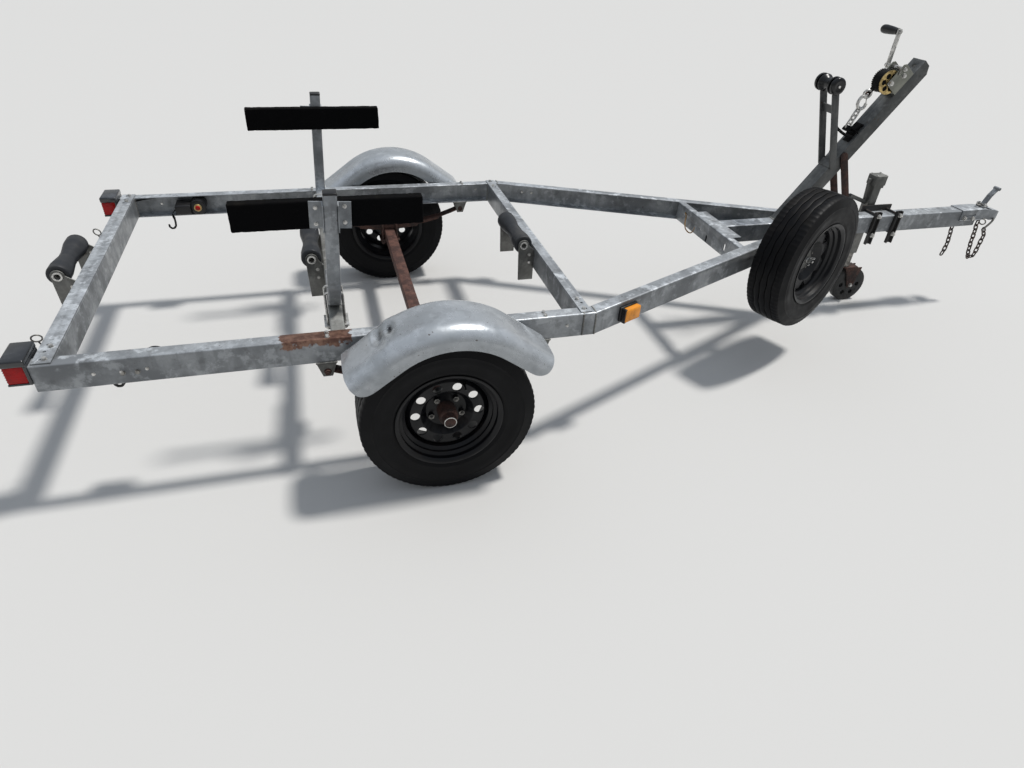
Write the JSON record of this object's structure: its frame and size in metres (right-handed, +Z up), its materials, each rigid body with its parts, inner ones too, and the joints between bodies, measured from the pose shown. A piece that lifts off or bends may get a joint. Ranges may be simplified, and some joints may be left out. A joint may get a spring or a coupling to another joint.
{
  "type": "boat trailer",
  "caption": "Single-axle galvanised boat trailer with keel rollers, carpeted guides, winch post, jockey wheel and side-mounted spare.",
  "frame": {"origin": "on the ground under the middle of the trailer's length, on its centre line", "axes": "+X forward to the coupler, +Y to the trailer's left, +Z up"},
  "size_m": [4.661, 1.986, 1.4208],
  "materials": {
    "galvanised": "satin",
    "dark_steel": "satin",
    "rusty_steel": "matt",
    "zinc": "satin",
    "gold_zinc": "satin",
    "tyre": "matt",
    "rubber": "matt",
    "carpet": "matt",
    "webbing": "matt",
    "black_plastic": "satin",
    "red_lens": "gloss",
    "amber_lens": "gloss",
    "black_paint": "satin"
  },
  "bodies": {
    "frame": {"side_rail_right": "galvanised", "side_rail_left": "galvanised", "draw_rail_right": "galvanised", "draw_rail_left": "galvanised", "rear_crossmember": "galvanised", "guide_crossmember": "galvanised", "mid_crossmember": "galvanised", "front_crossmember": "galvanised", "tongue": "galvanised", "coupler": "galvanised", "winch_mast": "dark_steel", "mast_braces": "rusty_steel", "bow_stop": "galvanised", "winch_frame": "dark_steel", "winch_strap": "webbing", "keel_bracket_rear": "galvanised", "keel_bracket_middle": "galvanised", "keel_bracket_front": "galvanised", "guide_post_right": "galvanised", "guide_post_left": "galvanised", "guide_board_right": "carpet", "guide_board_left": "carpet", "axle": "rusty_steel", "leaf_spring_right": "rusty_steel", "leaf_spring_left": "rusty_steel", "spring_hangers": "galvanised", "fender_right": "galvanised", "fender_left": "galvanised", "fender_brackets": "galvanised", "spare_carrier": "galvanised", "spare_wheel": "black_paint", "spare_tyre": "tyre", "jack_mount": "galvanised", "tail_light_right": "red_lens", "tail_light_left": "red_lens", "side_markers": "amber_lens", "tie_downs": "black_plastic", "safety_chains": "zinc"},
    "wheel_right": {"wheel_right": "black_paint", "tyre_right": "tyre"},
    "wheel_left": {"wheel_left": "black_paint", "tyre_left": "tyre"},
    "keel_roller_rear": {"keel_roller_rear": "rubber"},
    "keel_roller_middle": {"keel_roller_middle": "rubber"},
    "keel_roller_front": {"keel_roller_front": "rubber"},
    "bow_roller": {"bow_roller": "rubber"},
    "winch_crank": {"winch_crank": "zinc"},
    "winch_drum": {"winch_drum": "gold_zinc"},
    "jack_body": {"jack_body": "galvanised"},
    "jack_leg": {"jack_leg": "zinc"},
    "jack_fork": {"jack_fork": "rusty_steel"},
    "jack_wheel": {"jack_wheel": "black_plastic"}
  },
  "joints": [
    {"name": "wheel_right_spin", "type": "hinge", "parent": "frame", "child": "wheel_right", "pos_m": [-0.992, -0.869, 0.31], "axis": [0, 1, 0], "continuous": true},
    {"name": "wheel_left_spin", "type": "hinge", "parent": "frame", "child": "wheel_left", "pos_m": [-0.992, 0.869, 0.31], "axis": [0, 1, 0], "continuous": true},
    {"name": "keel_roller_rear_spin", "type": "hinge", "parent": "frame", "child": "keel_roller_rear", "pos_m": [-2.29, 0, 0.578], "axis": [0, 1, 0], "continuous": true},
    {"name": "keel_roller_middle_spin", "type": "hinge", "parent": "frame", "child": "keel_roller_middle", "pos_m": [-1.394, 0, 0.578], "axis": [0, 1, 0], "continuous": true},
    {"name": "keel_roller_front_spin", "type": "hinge", "parent": "frame", "child": "keel_roller_front", "pos_m": [-0.506, 0, 0.578], "axis": [0, 1, 0], "continuous": true},
    {"name": "bow_roller_spin", "type": "hinge", "parent": "frame", "child": "bow_roller", "pos_m": [0.94961, 0, 1.19559], "axis": [0, 1, 0], "continuous": true},
    {"name": "winch_drum_spin", "type": "hinge", "parent": "frame", "child": "winch_drum", "pos_m": [1.25017, 0, 1.20607], "axis": [0, 1, 0], "continuous": true},
    {"name": "winch_crank_spin", "type": "hinge", "parent": "frame", "child": "winch_crank", "pos_m": [1.30081, 0, 1.2633], "axis": [0, 1, 0], "continuous": true},
    {"name": "jack_swing", "type": "hinge", "parent": "frame", "child": "jack_body", "pos_m": [1.507, 0.048, 0.512], "axis": [0, -1, 0], "range_deg": [0, 90]},
    {"name": "jack_slide", "type": "slide", "parent": "jack_body", "child": "jack_leg", "axis": [0, 0, 1], "range_m": [-0.165, 0.085]},
    {"name": "jack_swivel", "type": "hinge", "parent": "jack_leg", "child": "jack_fork", "pos_m": [1.507, 0.086, 0.2157], "axis": [0, 0, 1], "continuous": true},
    {"name": "jack_wheel_spin", "type": "hinge", "parent": "jack_fork", "child": "jack_wheel", "pos_m": [1.567, 0.086, 0.1], "axis": [0, 1, 0], "continuous": true}
  ],
  "couplings": [
    {"joint": "winch_crank_spin", "follows": "winch_drum_spin", "ratio": -4}
  ]
}
